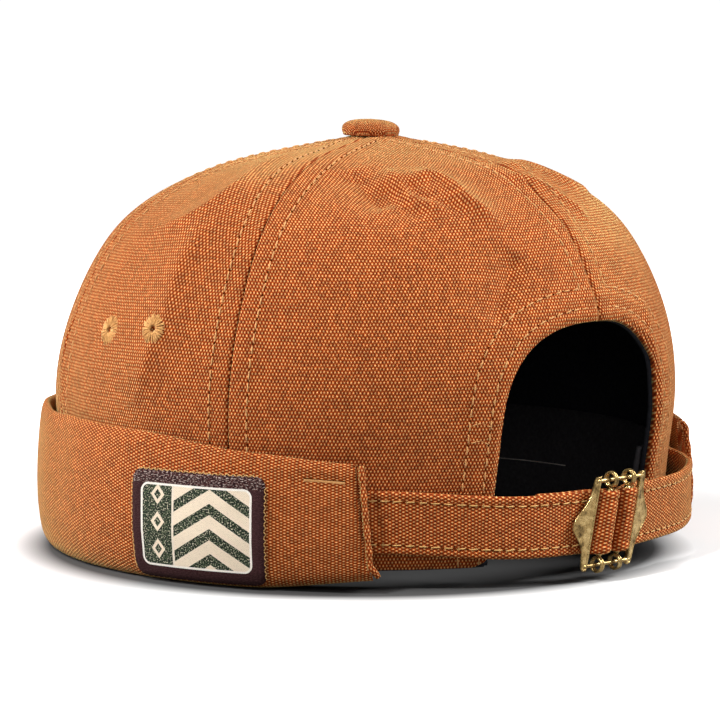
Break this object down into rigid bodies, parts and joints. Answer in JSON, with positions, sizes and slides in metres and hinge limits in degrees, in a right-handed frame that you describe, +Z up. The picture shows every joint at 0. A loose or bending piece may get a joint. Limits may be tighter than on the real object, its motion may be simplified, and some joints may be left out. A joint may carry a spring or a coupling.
{
  "type": "docker cap",
  "caption": "Brimless canvas docker cap with a turned-up cuff, a covered top button, stitched eyelets, an arched back opening and a buckled adjusting strap.",
  "frame": {"origin": "on the table under the middle of the cap's box", "axes": "+Z up to the button, -Y to the front of the cap, +Y to the arched opening, +X to the wearer's left, where the label is"},
  "size_m": [0.2092, 0.2192, 0.136],
  "materials": {
    "canvas": "ginger-brown plain-weave cotton canvas, matt",
    "lining": "black plain-weave lining cloth, matt",
    "sweatband": "black twill band, matt",
    "label": "woven patch in cream, dark green, black and dark brown",
    "thread": "golden embroidery thread",
    "brass": "antique brass, worn bright on the edges"
  },
  "bodies": {
    "root": {"panel_back_left": "canvas", "panel_side_left": "canvas", "panel_front_left": "canvas", "panel_front_right": "canvas", "panel_side_right": "canvas", "panel_back_right": "canvas", "button": "canvas", "cuff": "canvas", "arch_facing": "lining", "strap_left": "canvas", "strap_right": "canvas", "lining": "lining", "sweatband": "sweatband", "label": "label", "eyelet_left_front": "thread", "eyelet_left_back": "thread", "eyelet_right_front": "thread", "eyelet_right_back": "thread", "buckle_frame": "brass", "buckle_bar_left": "brass", "buckle_bar_right": "brass"}
  },
  "joints": []
}
